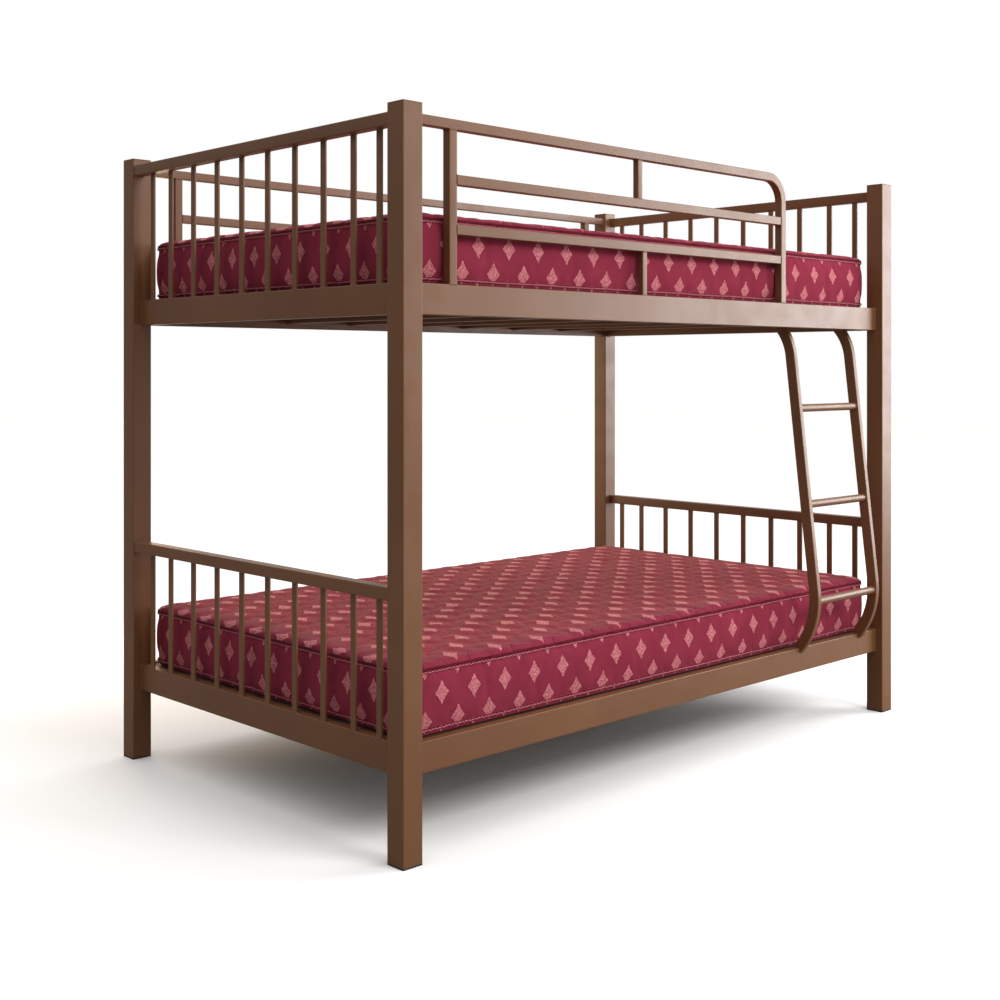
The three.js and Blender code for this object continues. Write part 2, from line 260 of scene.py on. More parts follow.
# Height and inset of the rings that roll the cover over, from the high seam to the top panel.
OVER_ROWS = ((0.1632, 0.0084), (0.1690, 0.0108), (0.1727, 0.0150))
PANEL_EDGE_HEIGHT = 0.1742
PANEL_INSET = 0.020
CROWN = 0.007
CROWN_REACH = 0.12

# Quilting: how deep its lines sink and how high the cloth stands between them, how near a line
# a point must be to be drawn onto it, and how far from a line the cloth is at its highest.
VALLEY = 0.0018
PUFF = 0.0012
STITCH_REACH = 0.42 * CELL
PUFF_REACH = 0.03

# The quilting starts this far inside the panel, at a quarter of its depth, and is full further in.
QUILT_FADE = (0.045, 0.16)
QUILT_RELIEF = (0.25, 1.0)

# Cloth simulation: the height below which the cover lies on its deck, the pressure, the frames,
# and the furthest that a point may move.
LYING = 0.001
PRESSURE = 3.0
CLOTH_FRAMES = 20
SWELL_CAP = 0.0045

# Piping cord in front of the seam, with the share that its strands stand out, the length of a
# twist, and the waves round the mattress that it wanders in. The binding lies behind it.
CORD_RADIUS = 0.0029
CORD_STRAND = 0.16
CORD_TWIST = 0.022
CORD_PROUD = 0.0015
CORD_DROP = 0.001
CORD_SWAY = 0.0008
CORD_WAVES = ((23, 0.5), (57, 0.3), (141, 0.2))
BINDING_DEPTH = 0.0018
SWEEP_SIDES = 8
SWEEP_STEP = 0.004

# Name, height, how far the binding's middle is above the seam, and half the binding's height.
SEAMS = (("bottom", LOW_SEAM, 0.0005, 0.0030), ("top", HIGH_SEAM, 0.0040, 0.0055))

# The woven pattern: half a lozenge's width and height, how many repeats go round the border, how
# far apart its rows are, where it starts, and how far the lower mattress's is slid along.
LOZENGE_HALF = (0.0210, 0.0280)
BORDER_REPEATS = 60
BORDER_ROW = 0.133
BORDER_PHASE = (0.004, 0.103)
LOWER_SLIDE = 0.014
TOP_REPEAT = (0.1525, 0.126)
TOP_PHASE = (0.064, -0.0556)
DOT_HALF = (0.0055, 0.0110)
DOT_DROP = 0.004
WEAVE = 0.0016

# How far the quilting lines sway, how far from them their dark line of thread and painted channel
# shade starts and how near it is full, and the length of its thread's dashes, all in repeats.
STITCH_WAVE = 0.09
THREAD_AND_SHADE_HALF = (0.022, 0.008)
DASH = 1 / 16


# ---------------------------------------------------------------- materials

PAINT = (0.165, 0.0680, 0.0260, 1)
PAINT_DARK = (0.148, 0.0600, 0.0225, 1)
PAINT_FLECK = (0.230, 0.120, 0.070, 1)
CAP_ROUGHNESS = 0.45
FOOT_DARK = (0.012, 0.010, 0.009, 1)
FOOT_LIGHT = (0.024, 0.020, 0.018, 1)
FOOT_ROUGHNESS = 0.65
ROUGHNESS_SPREAD = 0.06

WOOD_DARK = (0.045, 0.020, 0.012, 1)
WOOD_LIGHT = (0.100, 0.048, 0.028, 1)
WOOD_GLUE = (0.035, 0.016, 0.010, 1)
# How fine the grain is along, across and through the board.
GRAIN_SCALES = (2.0, 42.0, 30.0)
PLY_THICKNESS = 0.005


def paint_material():
    """Stoved brown enamel: an even colour with a faint mottle, fine flecks and orange peel."""
    look = Look("brown_enamel")
    place = look.place()
    mottle = look.ranged(look.noise(place, 3.0, 3.0), 0.35, 0.65)
    fleck = look.ranged(look.noise(place, 900.0, 1.0), 0.55, 0.75)
    colour = look.mix(mottle, PAINT_DARK, PAINT)
    look.set("Base Color", look.mix(look.times(fleck, 0.3), colour, PAINT_FLECK))
    look.set("Roughness", look.ranged(look.noise(place, 14.0, 4.0), 0.3, 0.7, 0.34, 0.42))
    look.set("Normal", look.bump(look.noise(place, 420.0, 2.0), 0.22, 0.0004))
    return look.material


def plastic_material(name, dark, light, roughness):
    """Moulded plastic with a fine grain."""
    look = Look(name)
    place = look.place()
    look.set("Base Color", look.mix(look.noise(place, 40.0, 3.0), dark, light))
    rough = look.noise(place, 60.0)
    smoothest, roughest = roughness - ROUGHNESS_SPREAD, roughness + ROUGHNESS_SPREAD
    look.set("Roughness", look.ranged(rough, 0.3, 0.7, smoothest, roughest))
    look.set("Normal", look.bump(look.noise(place, 1200.0, 2.0), 0.3, 0.0003))
    return look.material


def plywood_material():
    """Dark-stained plywood: long grain on the faces and plies at the edges."""
    look = Look("stained_plywood")
    place = look.split(look.place())
    scaled = [look.times(value, scale) for value, scale in zip(place, GRAIN_SCALES)]
    stretched = look.node("CombineXYZ", dict(enumerate(scaled))).outputs[0]
    grain = look.ranged(look.noise(stretched, 1.0, 6.0), 0.32, 0.68)
    ply = look.ranged(look.wave(place[2], PLY_THICKNESS), -0.3, 0.3)
    wood = look.mix(grain, WOOD_DARK, WOOD_LIGHT)
    look.set("Base Color", look.mix(look.times(ply, 0.3), wood, WOOD_GLUE))
    look.set("Roughness", look.ranged(grain, 0.0, 1.0, 0.55, 0.75))
    look.set("Normal", look.bump(grain, 0.4, 0.0006))
    return look.material


# Ground, shaded ground, motif thread and shaded thread of each fabric.
BORDER_YARN = ((0.235, 0.0290, 0.0540, 1), (0.150, 0.0165, 0.0310, 1),
               (0.560, 0.1850, 0.2100, 1), (0.310, 0.0750, 0.0950, 1))
PANEL_YARN = ((0.272, 0.0305, 0.0480, 1), (0.188, 0.0195, 0.0300, 1),
              (0.680, 0.2250, 0.2250, 1), (0.400, 0.1000, 0.1080, 1))
# The panel's yarn takes over from the border's between these distances from the mattress's edge.
PANEL_YARN_STARTS = (0.010, 0.120)
# Near-black maroon of the quilting thread and the seam tape, darkened to stand for the shade in the
# quilting channels and the seam groove: painted shade.
DARK_YARN_AND_GROOVE_SHADE = (0.052, 0.0060, 0.0105, 1)

# How far the weave and the quilting thread, with its painted channel shade, stand out against the
# motifs, and their bump.
WEAVE_RELIEF = 0.12
THREAD_AND_SHADE_RELIEF = 0.8
CLOTH_BUMP = (0.6, 0.0010)

# Length of a ply of the cord, how far it slants in one turn, and the pitch of the binding's ribs.
PLY_LENGTH = 0.011
PLY_SLANT = 0.02
RIB_LENGTH = 0.0022

BORDER_SHEEN = 0.10
PANEL_SHEEN = 0.22
SHEEN_TINT = (1.0, 0.72, 0.62, 1)
SHEEN_ROUGHNESS = 0.35


def centred(look, value, pitch, shift):
    """Distance from the nearest of a row of points pitch apart, signed."""
    turns = look.plus(look.math("DIVIDE", value, pitch), shift)
    return look.times(look.math("SUBTRACT", look.math("FRACT", turns), 0.5), pitch)


def lozenge_field(look, u, v, pitch, phase):
    """0 near the middle of the nearest motif of a staggered set, 1 on its outline, more outside.

    The outline is a lozenge whose sides pull in halfway up to its top and down to its foot."""
    fields = []
    for half_step in (0.0, 0.5):
        du = centred(look, look.math("SUBTRACT", u, phase[0]), pitch[0], 0.5 + half_step)
        dv = centred(look, look.math("SUBTRACT", v, phase[1]), pitch[1], 0.5 + half_step)
        across = look.math("DIVIDE", look.math("ABSOLUTE", du), LOZENGE_HALF[0])
        along = look.math("DIVIDE", look.math("ABSOLUTE", dv), LOZENGE_HALF[1])
        notch = look.times(look.math("COSINE", look.times(along, 2 * math.pi)), -0.05)
        fields.append(look.plus(look.plus(across, along), notch))
    return look.math("MINIMUM", *fields)


def dot_row(look, u, v, pitch, phase, height):
    """1 on a row of small dots along a seam, 0 elsewhere."""
    du = centred(look, look.math("SUBTRACT", u, phase), pitch, 0.5)
    dv = look.math("SUBTRACT", v, height)
    across = look.math("DIVIDE", look.math("ABSOLUTE", du), DOT_HALF[0])
    along = look.math("DIVIDE", look.math("ABSOLUTE", dv), DOT_HALF[1])
    return look.ranged(look.plus(across, along), 1.1, 0.8)


def weave_height(look, u, v):
    """The over and under of a plain weave, from -1 to 1."""
    return look.times(look.wave(u, WEAVE), look.wave(v, WEAVE))


def satin(look, sheen):
    """What every fabric of the mattress shares: a soft surface that only shines along its nap."""
    look.set("Specular IOR Level", 0.0)
    look.set("Sheen Weight", sheen)
    look.set("Sheen Roughness", SHEEN_ROUGHNESS)
    look.set("Sheen Tint", SHEEN_TINT)


def woven_colour(look, place, field, motif, yarn):
    """Maroon ground with pink motifs, each with a darker ring and broken threads inside, and painted
    shade on the ground round its outline.
    """
    plain, plain_dark, bright, bright_dark = yarn
    ring = look.times(look.ranged(field, 0.42, 0.52), look.ranged(field, 0.78, 0.66))
    broken = look.ranged(look.noise(place, 150.0, 1.0), 0.44, 0.56)
    inner = look.math("MAXIMUM", look.times(ring, 0.35), look.times(broken, 0.75))
    thread = look.mix(inner, bright, bright_dark)
    shade = look.ranged(look.noise(place, 9.0, 3.0), 0.35, 0.65)
    ground = look.mix(look.times(shade, 0.35), plain, plain_dark)
    # Painted shade: the ground is darkened just outside each raised motif's outline.
    painted_motif_shade = look.times(look.ranged(field, 1.32, 1.10), 0.30)
    return look.mix(motif, look.mix(painted_motif_shade, ground, plain_dark), thread)


def motif_field(look, place, u, v, pitch, phase):
    """The lozenges' field with the stepped, slightly torn outline of weaving, and its inside."""
    torn = look.math("SUBTRACT", look.noise(place, 260.0, 2.0), 0.5)
    field = look.plus(lozenge_field(look, u, v, pitch, phase), look.times(torn, 0.45))
    return field, look.ranged(field, 1.06, 0.94)


def border_jacquard(pitch):
    """The border: staggered rows of woven lozenges, and small dots along the lower seam."""
    look = Look("border_jacquard")
    place, u, v = look.cloth_place()
    field, motif = motif_field(look, place, u, v, (pitch, BORDER_ROW), BORDER_PHASE)
    dots = dot_row(look, u, v, pitch, BORDER_PHASE[0], LOW_SEAM - DOT_DROP)
    motif = look.math("MAXIMUM", motif, dots)
    height = look.plus(motif, look.times(weave_height(look, u, v), WEAVE_RELIEF))
    look.set("Base Color", woven_colour(look, place, field, motif, BORDER_YARN))
    look.set("Roughness", look.ranged(motif, 0.0, 1.0, 0.62, 0.50))
    look.set("Normal", look.bump(height, *CLOTH_BUMP))
    satin(look, BORDER_SHEEN)
    return look.material


def quilt_jacquard(half_x, half_y):
    """The top panel: the same lozenges, with dark lines of quilting thread and painted channel shade
    between them.
    """
    look = Look("quilted_jacquard")
    place, u, v = look.cloth_place()
    field, motif = motif_field(look, place, u, v, TOP_REPEAT, TOP_PHASE)
    from_end = look.math("SUBTRACT", half_x, look.math("ABSOLUTE", u))
    from_side = look.math("SUBTRACT", half_y, look.math("ABSOLUTE", v))
    inside = look.ranged(look.math("MINIMUM", from_end, from_side), *PANEL_YARN_STARTS)
    yarn = [look.mix(inside, *pair) for pair in zip(BORDER_YARN, PANEL_YARN)]
    woven = woven_colour(look, place, field, motif, yarn)
    thread = look.times(stitch_thread_and_shade_mask(look, u, v), THREAD_AND_SHADE_RELIEF)
    height = look.plus(motif, look.times(weave_height(look, u, v), WEAVE_RELIEF))
    height = look.math("SUBTRACT", height, thread)
    # The quilting lines are painted in this near-black: thread dashes over painted shade of the
    # channels.
    look.set("Base Color", look.mix(thread, woven, DARK_YARN_AND_GROOVE_SHADE))
    look.set("Roughness", look.ranged(motif, 0.0, 1.0, 0.66, 0.55))
    look.set("Normal", look.bump(height, *CLOTH_BUMP))
    satin(look, PANEL_SHEEN)
    return look.material


def stitch_thread_and_shade_mask(look, u, v):
    """Dark lines along the quilting: painted channel shade all along, darkest at one dash of thread to
    each stitch.
    """
    a = look.math("DIVIDE", look.math("SUBTRACT", u, TOP_PHASE[0]), TOP_REPEAT[0])
    b = look.math("DIVIDE", look.math("SUBTRACT", v, TOP_PHASE[1]), TOP_REPEAT[1])
    m = look.plus(a, b)
    n = look.math("SUBTRACT", a, b)
    lines = []
    for main, other in ((m, n), (n, m)):
        sway = look.times(look.wave(other, 1.0), STITCH_WAVE)
        off = centred(look, look.plus(main, sway), 1.0, 0.0)
        line = look.ranged(look.math("ABSOLUTE", off), *THREAD_AND_SHADE_HALF)
        dash = look.ranged(look.wave(other, DASH), -0.7, -0.2, 0.45, 1.0)
        lines.append(look.times(line, dash))
    return look.math("MAXIMUM", *lines)


def cord_material():
    """Twisted piping of pink and maroon yarn."""
    look = Look("piping_cord")
    place, u, v = look.cloth_place()
    ply = look.wave(look.plus(u, look.times(v, PLY_SLANT)), PLY_LENGTH)
    broken = look.ranged(look.noise(place, 70.0, 2.0), 0.42, 0.60)
    pink = look.times(look.ranged(ply, -0.7, 0.2), look.ranged(broken, 0.0, 1.0, 1.0, 0.35))
    look.set("Base Color", look.mix(pink, BORDER_YARN[1], BORDER_YARN[2]))
    look.set("Roughness", look.ranged(broken, 0.0, 1.0, 0.5, 0.65))
    look.set("Normal", look.bump(ply, 0.5, 0.0006))
    satin(look, BORDER_SHEEN)
    return look.material


def binding_and_groove_shade_material():
    """Ribbed maroon tape in the groove behind the piping, coloured near-black as painted shade of the
    groove.
    """
    look = Look("seam_binding_and_groove_shade")
    place, u, _ = look.cloth_place()
    rib = look.wave(u, RIB_LENGTH)
    shade = look.ranged(look.noise(place, 30.0, 2.0), 0.35, 0.65)
    # Painted groove shade: the tape's colour runs between near-black and dark maroon to stand for the
    # groove's shadow.
    look.set("Base Color", look.mix(shade, DARK_YARN_AND_GROOVE_SHADE, BORDER_YARN[1]))
    look.set("Roughness", look.ranged(shade, 0.0, 1.0, 0.6, 0.7))
    look.set("Normal", look.bump(rib, 0.5, 0.0005))
    satin(look, BORDER_SHEEN)
    return look.material


# ---------------------------------------------------------------- the CAD nodes

SHARP_EDGE = math.radians(50)


def smooth_node(obj):
    """Shades a tube's corners and bends round and keeps its flats and cut ends crisp."""
    mesh = obj.data
    custom = mesh.attributes.get("custom_normal")
    if custom is not None:
        mesh.attributes.remove(custom)
    for polygon in mesh.polygons:
        polygon.use_smooth = True
    weld = obj.modifiers.new("weld", "WELD")
    weld.merge_threshold = 1e-5
    split = obj.modifiers.new("split", "EDGE_SPLIT")
    split.split_angle = SHARP_EDGE
    obj.modifiers.new("normals", "WEIGHTED_NORMAL")


def dress_nodes():
    looks = {
        "frame_paint": paint_material(),
        "cap_plastic": plastic_material("cap_plastic", PAINT_DARK, PAINT, CAP_ROUGHNESS),
        "foot_plastic": plastic_material("foot_plastic", FOOT_DARK, FOOT_LIGHT, FOOT_ROUGHNESS),
        "deck_plywood": plywood_material(),
    }
    slots = {part["node"]: part["material_slot"] for part in frame["record"]["subparts"]}
    for name, obj in frame["nodes"].items():
        if slots[name] not in looks:
            continue
        obj.data.materials.clear()
        obj.data.materials.append(looks[slots[name]])
        smooth_node(obj)
    return looks


# ---------------------------------------------------------------- mesh helpers


class Pile:
    """Vertices and faces of many closed tubes, gathered into one mesh."""

    def __init__(self):
        self.vertices = []
        self.faces = []
        self.uvs = []

    def tube(self, rings, run):
        """Joins rings of points into a closed loop of tube; run is the running length at each ring."""
        start = len(self.vertices)
        sides = len(rings[0])
        for ring in rings:
            self.vertices.extend(ring)
        for i in range(len(rings)):
            here = start + i * sides
            beyond = start + (i + 1) % len(rings) * sides
            u0, u1 = run[i], run[i + 1]
            for j in range(sides):
                k = (j + 1) % sides
                self.faces.append((here + j, beyond + j, beyond + k, here + k))
                v0, v1 = j / sides, (j + 1) / sides
                self.uvs.append(((u0, v0), (u1, v0), (u1, v1), (u0, v1)))

    def object(self, name, material):
        mesh = bpy.data.meshes.new(name)
        mesh.from_pydata([tuple(v) for v in self.vertices], [], self.faces)
        layer = mesh.uv_layers.new(name="cloth")
        flat = np.array(self.uvs, np.float32).reshape(-1)
        layer.data.foreach_set("uv", flat)
        mesh.polygons.foreach_set("use_smooth", [True] * len(self.faces))
        mesh.materials.append(material)
        mesh.update()
        obj = bpy.data.objects.new(name, mesh)
        scene.collection.objects.link(obj)
        return obj


def lengths_round(points):
    """Running length at each point of a closed path, and the whole length at the end."""
    steps = np.linalg.norm(np.roll(points, -1, axis=0) - points, axis=1)
    return np.concatenate([[0.0], np.cumsum(steps)])


def resample(points, step):
    """A closed path's points, spread evenly along it, about step apart."""
    run = lengths_round(points)
    closed = np.vstack([points, points[:1]])
    count = round(run[-1] / step)
    wanted = np.arange(count) / count * run[-1]
    return np.stack([np.interp(wanted, run, closed[:, k]) for k in range(2)], axis=1)


def outward_from(path):
    """The direction out of a closed anticlockwise path at each of its points."""
    tangent = np.roll(path, -1, axis=0) - np.roll(path, 1, axis=0)
    tangent /= np.linalg.norm(tangent, axis=1)[:, None]
    return np.stack([tangent[:, 1], -tangent[:, 0]], axis=1)


# ---------------------------------------------------------------- weld beads

BEAD_STEP = 0.003
BEAD_SIDES = 6
# Radius of a bead on a rail, on a smaller tube and on a spindle.
RAIL_BEAD = 0.0026
TUBE_BEAD = 0.0019
SPINDLE_BEAD = 0.0013
# Corner radius of the tube or spindle that the bead goes round.
TUBE_CORNER = 0.002
SPINDLE_CORNER = 0.001
CORNER_POINTS = 4
RIPPLE = 0.13
RIPPLE_LENGTH = 0.0065

# The two axes of the plane across each axis, so that the three make a right-handed set.
PLANES = {0: (1, 2), 1: (2, 0), 2: (0, 1)}

BEARERS = 7
RUNGS = 3

# A spindle's foot is what lies this close above the grille's lowest point, and two points of a
# grille's feet further apart than the gap belong to different spindles.
FOOT_SLICE = 0.001
SPINDLE_GAP = 0.03


def rectangle_path(half_u, half_v, corner):
    """Points round a rectangle with rounded corners, in its own plane, about BEAD_STEP apart."""
    points = []
    for quarter in range(4):
        angle0 = quarter * math.pi / 2
        cu = (half_u - corner) * (1 if quarter in (0, 3) else -1)
        cv = (half_v - corner) * (1 if quarter in (0, 1) else -1)
        for k in range(CORNER_POINTS):
            angle = angle0 + k / (CORNER_POINTS - 1) * math.pi / 2
            points.append((cu + corner * math.cos(angle), cv + corner * math.sin(angle)))
    return resample(np.array(points), BEAD_STEP)


def circle_path(radius):
    count = round(2 * math.pi * radius / BEAD_STEP)
    turn = np.arange(count) / count * 2 * math.pi
    return np.stack([radius * np.cos(turn), radius * np.sin(turn)], axis=1)


def add_bead(pile, centre, axis, flat, radius):
    """A weld bead round the path flat, in the plane across axis through centre."""
    u_axis, v_axis = PLANES[axis]
    run = lengths_round(flat)
    repeats = round(run[-1] / RIPPLE_LENGTH)
    rings = []
    for point, out, s in zip(flat, outward_from(flat), run):
        swell = radius * (1 + RIPPLE * math.sin(2 * math.pi * repeats * s / run[-1]))
        ring = []
        for k in range(BEAD_SIDES):
            turn = 2 * math.pi * k / BEAD_SIDES
            place = np.array(centre, float)
            spread = swell * math.cos(turn)
            place[u_axis] += point[0] + out[0] * spread
            place[v_axis] += point[1] + out[1] * spread
            place[axis] += swell * math.sin(turn)
            ring.append(tuple(place))
        rings.append(ring)
    pile.tube(rings, run)


def bead_at_end(pile, low, high, axis, end, radius, corner=TUBE_CORNER):
    """A bead round one end of the box low-high. end is 0 for the low end and 1 for the high end."""
    middle = (low + high) / 2
    centre = [middle.x, middle.y, middle.z]
    centre[axis] = high[axis] if end else low[axis]
    u_axis, v_axis = PLANES[axis]
    half_u = (high[u_axis] - low[u_axis]) / 2
    half_v = (high[v_axis] - low[v_axis]) / 2
    add_bead(pile, centre, axis, rectangle_path(half_u, half_v, corner), radius)


def spindle_feet(node):
    """The lowest and highest x, then y, of each spindle's foot, from the node's lowest vertices."""
    low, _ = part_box(node)
    points = [v.co for v in frame["nodes"][node].data.vertices]
    feet = sorted((p.y, p.x) for p in points if p.z < low.z + FOOT_SLICE)
    groups = [[feet[0]]]
    for foot in feet[1:]:
        if foot[0] - groups[-1][-1][0] > SPINDLE_GAP:
            groups.append([])
        groups[-1].append(foot)
    for group in groups:
        ys, xs = zip(*group)
        yield min(xs), max(xs), min(ys), max(ys)


def beads_at_ends(pile, node, axis, radius):
    low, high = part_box(node)
    for end in (0, 1):
        bead_at_end(pile, low, high, axis, end, radius)


def add_welds(paint):
    pile = Pile()
    for level in ("lower", "upper"):
        for side in ("front", "rear"):
            beads_at_ends(pile, f"{level}_side_rail_{side}", 0, RAIL_BEAD)
        for side in ("left", "right"):
            beads_at_ends(pile, f"{level}_end_rail_{side}", 1, RAIL_BEAD)
            add_grille_welds(pile, f"{level}_end_grille_{side}")
        for number in range(1, BEARERS + 1):
            beads_at_ends(pile, f"{level}_bearer_{number}", 1, TUBE_BEAD)
    add_guard_welds(pile)
    add_rung_welds(pile)
    welds = pile.object("weld_beads", paint)
    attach(welds, "frame")


def add_grille_welds(pile, node):
    low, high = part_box(node)
    depth = high.x - low.x
    rail_low = Vector((low.x, low.y, high.z - depth))
    for end in (0, 1):
        bead_at_end(pile, rail_low, high, 1, end, TUBE_BEAD)
    for x0, x1, y0, y1 in spindle_feet(node):
        for z in (low.z, rail_low.z):
            foot_low = Vector((x0, y0, z))
            foot_high = Vector((x1, y1, z))
            bead_at_end(pile, foot_low, foot_high, 2, 0, SPINDLE_BEAD, SPINDLE_CORNER)


def add_guard_welds(pile):
    low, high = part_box("front_guard_top_tube")
    side = high.y - low.y
    bead_at_end(pile, Vector((low.x, low.y, high.z - side)), high, 0, 0, TUBE_BEAD)
    bead_at_end(pile, Vector((high.x - side, low.y, low.z)), high, 2, 0, TUBE_BEAD)
    upright = ("front_guard_upright", "front_guard_upper_strut", "front_guard_lower_strut",
               "rear_guard_upright_left", "rear_guard_upright_right")
    level = ("front_guard_mid_bar", "front_guard_low_bar",
             "rear_guard_top_bar", "rear_guard_mid_bar", "rear_guard_low_bar")
    for nodes, axis in ((upright, 2), (level, 0)):
        for node in nodes:
            beads_at_ends(pile, node, axis, TUBE_BEAD)


def add_rung_welds(pile):
    for number in range(1, RUNGS + 1):
        low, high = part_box(f"ladder_rung_{number}")
        middle = (low + high) / 2
        circle = circle_path((high.z - low.z) / 2)
        for x in (low.x, high.x):
            add_bead(pile, (x, middle.y, middle.z), 0, circle, TUBE_BEAD)


# ---------------------------------------------------------------- mattress


def corner_mapped(x, y, half_x, half_y, radius):
    """Moves a point of a rectangle so that the rectangle's corners become round."""
    cx, cy = half_x - radius, half_y - radius
    a, b = abs(x) - cx, abs(y) - cy
    if a <= 0 or b <= 0:
        return x, y
    reach = max(a, b)
    angle = math.pi / 4 * (b / a) if a >= b else math.pi / 2 - math.pi / 4 * (a / b)
    px = cx + reach * math.cos(angle)
    py = cy + reach * math.sin(angle)
    return math.copysign(px, x), math.copysign(py, y)


# The faces' kinds, which are also the numbers of their materials.
BORDER_CLOTH, PANEL_CLOTH = 0, 1


class MattressShape:
    """A mattress as a grid: a bottom panel, rings up the sides, and a top panel, all joined."""

    def __init__(self, half_x, half_y):
        self.half_x, self.half_y = half_x, half_y
        self.nx = round(2 * half_x / CELL)
        self.ny = round(2 * half_y / CELL)
        self.vertices, self.faces, self.uvs, self.kinds = [], [], [], []
        self.edge = ([(i, 0) for i in range(self.nx)] + [(self.nx, j) for j in range(self.ny)]
                     + [(i, self.ny) for i in range(self.nx, 0, -1)]
                     + [(0, j) for j in range(self.ny, 0, -1)])
        self.build()

    def at(self, i, j, inset):
        half_x, half_y = self.half_x - inset, self.half_y - inset
        x = half_x * (2 * i / self.nx - 1)
        y = half_y * (2 * j / self.ny - 1)
        return corner_mapped(x, y, half_x, half_y, max(LEAST_CORNER, CORNER - inset))

    def ring(self, inset, height):
        start = len(self.vertices)
        for i, j in self.edge:
            x, y = self.at(i, j, inset)
            self.vertices.append((x, y, height))
        return list(range(start, start + len(self.edge)))

    def panel(self, inset, height):
        """A grid of points at height(x, y). Gives back a call for the number of the point i, j."""
        start = len(self.vertices)
        for j in range(self.ny + 1):
            for i in range(self.nx + 1):
                x, y = self.at(i, j, inset)
                self.vertices.append((x, y, height(x, y)))
        return lambda i, j: start + j * (self.nx + 1) + i

    def fill(self, index, kind, flip):
        for j in range(self.ny):
            for i in range(self.nx):
                quad = [index(i, j), index(i + 1, j), index(i + 1, j + 1), index(i, j + 1)]
                if flip:
                    quad.reverse()
                self.faces.append(quad)
                self.uvs.append([self.vertices[k][:2] for k in quad])
                self.kinds.append(kind)

    def band(self, lower, upper, kind):
        """Faces between two rings. The panel's cloth is laid out flat, the border's along the seam."""
        count = len(self.edge)
        for k in range(count):
            n = (k + 1) % count
            quad = [lower[k], lower[n], upper[n], upper[k]]
            self.faces.append(quad)
            if kind == PANEL_CLOTH:
                self.uvs.append([self.vertices[q][:2] for q in quad])
            else:
                u0, u1 = self.run[k], self.run[k + 1]
                z0, z1 = self.vertices[lower[k]][2], self.vertices[upper[k]][2]
                self.uvs.append([(u0, z0), (u1, z0), (u1, z1), (u0, z1)])
            self.kinds.append(kind)

    def build(self):
        seam = np.array([self.at(i, j, SEAM_INSET) for i, j in self.edge])
        self.run = lengths_round(seam)
        bottom = self.panel(BOTTOM_INSET, lambda x, y: 0.0)
        self.fill(bottom, BORDER_CLOTH, True)
        below = [bottom(i, j) for i, j in self.edge]
        for height, inset in reversed(UNDER_ROWS):
            row = self.ring(inset, height)
            self.band(below, row, BORDER_CLOTH)
            below = row
        self.low_seam = self.ring(SEAM_INSET, LOW_SEAM)
        self.band(below, self.low_seam, BORDER_CLOTH)
        below = self.low_seam
        for k in range(1, SIDE_ROWS):
            share = k / SIDE_ROWS
            height = LOW_SEAM + (HIGH_SEAM - LOW_SEAM) * share
            row = self.ring(SEAM_INSET - SIDE_BULGE * math.sin(math.pi * share), height)
            self.band(below, row, BORDER_CLOTH)
            below = row
        self.high_seam = self.ring(SEAM_INSET, HIGH_SEAM)
        self.band(below, self.high_seam, BORDER_CLOTH)
        below = self.high_seam
        for height, inset in OVER_ROWS:
            row = self.ring(inset, height)
            self.band(below, row, PANEL_CLOTH)
            below = row
        first = len(self.vertices)
        top = self.panel(PANEL_INSET, self.crowned)
        self.top_range = (first, len(self.vertices))
        self.fill(top, PANEL_CLOTH, False)
        self.band(below, [top(i, j) for i, j in self.edge], PANEL_CLOTH)

    def depth(self, x, y):
        """How far inside the edge of the top panel a point is."""
        return max(0.0, min(self.half_x - PANEL_INSET - abs(x), self.half_y - PANEL_INSET - abs(y)))

    def crowned(self, x, y):
        return PANEL_EDGE_HEIGHT + CROWN * (1 - math.exp(-self.depth(x, y) / CROWN_REACH))


def quilt_lines(x, y):
    """How far a point is from each family of quilting lines, in repeats, and the way across them."""
    a = (x - TOP_PHASE[0]) / TOP_REPEAT[0]
    b = (y - TOP_PHASE[1]) / TOP_REPEAT[1]
    found = []
    for main, other, sign in ((a + b, a - b, 1), (a - b, a + b, -1)):
        offset = main + STITCH_WAVE * math.sin(2 * math.pi * other)
        off = offset - math.floor(offset) - 0.5
        across = np.array([1 / TOP_REPEAT[0], sign / TOP_REPEAT[1]])
        found.append((off, across))
    return found


def stitch_down(shape):
    """Draws points of the panel onto the quilting lines, sinks them and lifts the others.

    Gives back the numbers of the points on the lines."""
    pinned = set()
    first, last = shape.top_range
    for k in range(first, last):
        x, y, z = shape.vertices[k]
        depth = shape.depth(x, y)
        if depth < QUILT_FADE[0]:
            continue
        relief = np.interp(depth, QUILT_FADE, QUILT_RELIEF)
        near = []
        for off, across in quilt_lines(x, y):
            distance = off / np.linalg.norm(across)
            near.append((abs(distance), distance, across))
        gap, distance, across = min(near, key=lambda item: item[0])
        if gap < STITCH_REACH:
            way = across / np.linalg.norm(across)
            x -= way[0] * distance
            y -= way[1] * distance
            shape.vertices[k] = (x, y, z - VALLEY * relief)
            pinned.add(k)
        else:
            swell = PUFF * min(1.0, gap / PUFF_REACH)
            shape.vertices[k] = (x, y, z + swell * relief)
    return pinned


def add_cloth(cloth, pinned_group):
    """Ticking that is blown up from inside and doesn't fall."""
    modifier = cloth.modifiers.new("cloth", "CLOTH")
    settings = modifier.settings
    settings.quality = 5
    settings.mass = 0.3
    settings.tension_stiffness = 12
    settings.compression_stiffness = 12
    settings.shear_stiffness = 5
    settings.bending_stiffness = 0.4
    settings.vertex_group_mass = pinned_group
    settings.shrink_min = -0.02
    settings.use_pressure = True
    settings.uniform_pressure_force = PRESSURE
    settings.effector_weights.gravity = 0
    modifier.collision_settings.use_collision = False
    modifier.point_cache.frame_start = 1
    modifier.point_cache.frame_end = CLOTH_FRAMES


